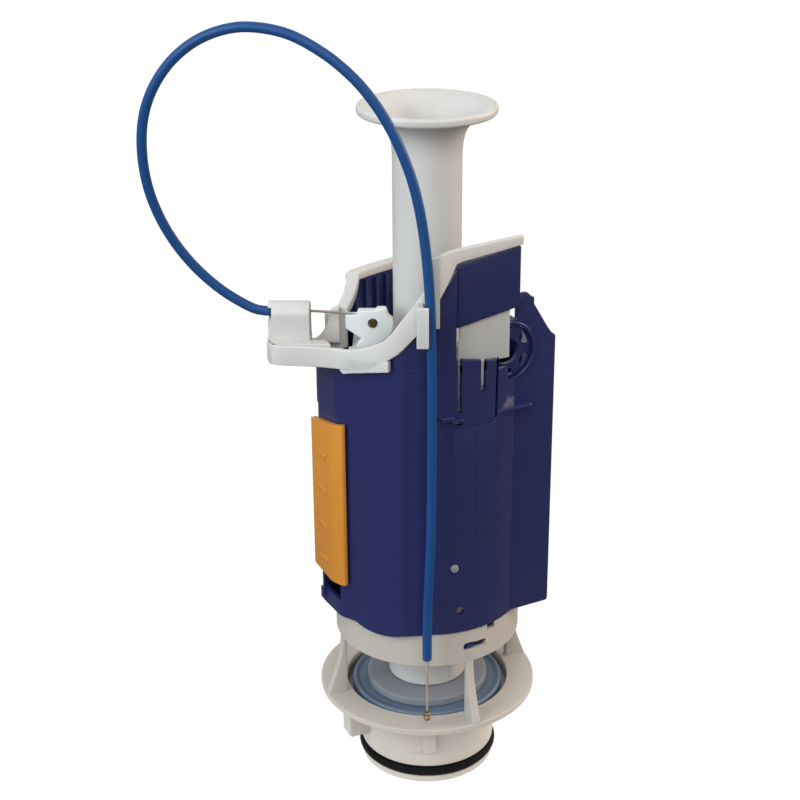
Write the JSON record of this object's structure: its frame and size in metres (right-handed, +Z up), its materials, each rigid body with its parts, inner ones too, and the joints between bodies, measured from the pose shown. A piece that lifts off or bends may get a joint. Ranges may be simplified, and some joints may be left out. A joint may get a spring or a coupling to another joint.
{
  "type": "toilet flush valve",
  "caption": "Cable-operated cistern flush valve: outlet seat, lifting overflow tube, blue housing with volume slider, top bracket with bell crank and Bowden cable.",
  "frame": {"origin": "centre of the outlet's bottom face, on the overflow tube's axis", "axes": "+Z up along the overflow tube, +X along the housing's side wing, -Y the front with the cable clip"},
  "size_m": [0.1792, 0.1092, 0.3847],
  "materials": {
    "white_plastic": "moulded off-white polypropylene, satin",
    "grey_plastic": "moulded mid grey plastic, satin",
    "navy_plastic": "moulded dark blue plastic, semi-gloss",
    "ochre_plastic": "moulded ochre plastic, satin",
    "blue_sheath": "extruded blue cable sheath",
    "seal_rubber": "blue-grey silicone seal",
    "black_rubber": "black rubber O-ring",
    "steel_wire": "stranded inner wire",
    "brass": "plain brass"
  },
  "bodies": {
    "base": {"valve_seat_body": "white_plastic", "outlet_o_ring": "black_rubber", "valve_housing": "navy_plastic", "tube_guide_spider": "white_plastic", "bayonet_socket_disc": "navy_plastic", "inner_tank_front": "white_plastic", "side_cover": "navy_plastic", "snap_peg": "white_plastic", "top_bracket": "white_plastic", "cable_clamp_block": "white_plastic", "crank_pivot_pin": "brass", "cable_sheath": "blue_sheath", "cable_sheath_end": "blue_sheath"},
    "valve_stem": {"overflow_tube": "white_plastic", "valve_seal": "seal_rubber", "seal_clamp_washer": "grey_plastic", "seal_backing_nut": "white_plastic", "stem_sleeve": "white_plastic", "main_float": "grey_plastic", "float_lock_ring": "white_plastic", "lift_collar": "white_plastic"},
    "crank": {"bell_crank": "white_plastic", "lever_wire_nipple": "brass"},
    "pull_wire": {"lever_wire": "steel_wire"},
    "free_cable_end": {"free_wire": "steel_wire", "free_end_nipple": "brass"},
    "volume_slider": {"flush_volume_slider": "ochre_plastic"}
  },
  "joints": [
    {"name": "stem_lift", "type": "slide", "parent": "base", "child": "valve_stem", "axis": [0, 0, 1], "range_m": [0, 0.014]},
    {"name": "crank_turn", "type": "hinge", "parent": "base", "child": "crank", "pos_m": [-0.02755, 0.01527, 0.2255], "axis": [-0.4848, -0.8746, 0], "range_deg": [0, 27.1]},
    {"name": "wire_pull", "type": "slide", "parent": "base", "child": "pull_wire", "axis": [-0.8698, 0.4822, 0.1045], "range_m": [0, 0.0094]},
    {"name": "cable_end_travel", "type": "slide", "parent": "base", "child": "free_cable_end", "axis": [0, 0, -1], "range_m": [0, 0.0094]},
    {"name": "volume_slide", "type": "slide", "parent": "base", "child": "volume_slider", "axis": [0, 0, 1], "range_m": [-0.008, 0.016]}
  ],
  "couplings": [
    {"joint": "crank_turn", "follows": "stem_lift", "rad_per_m": 33.66},
    {"joint": "wire_pull", "follows": "stem_lift", "ratio": 0.66714},
    {"joint": "cable_end_travel", "follows": "stem_lift", "ratio": 0.66714}
  ]
}
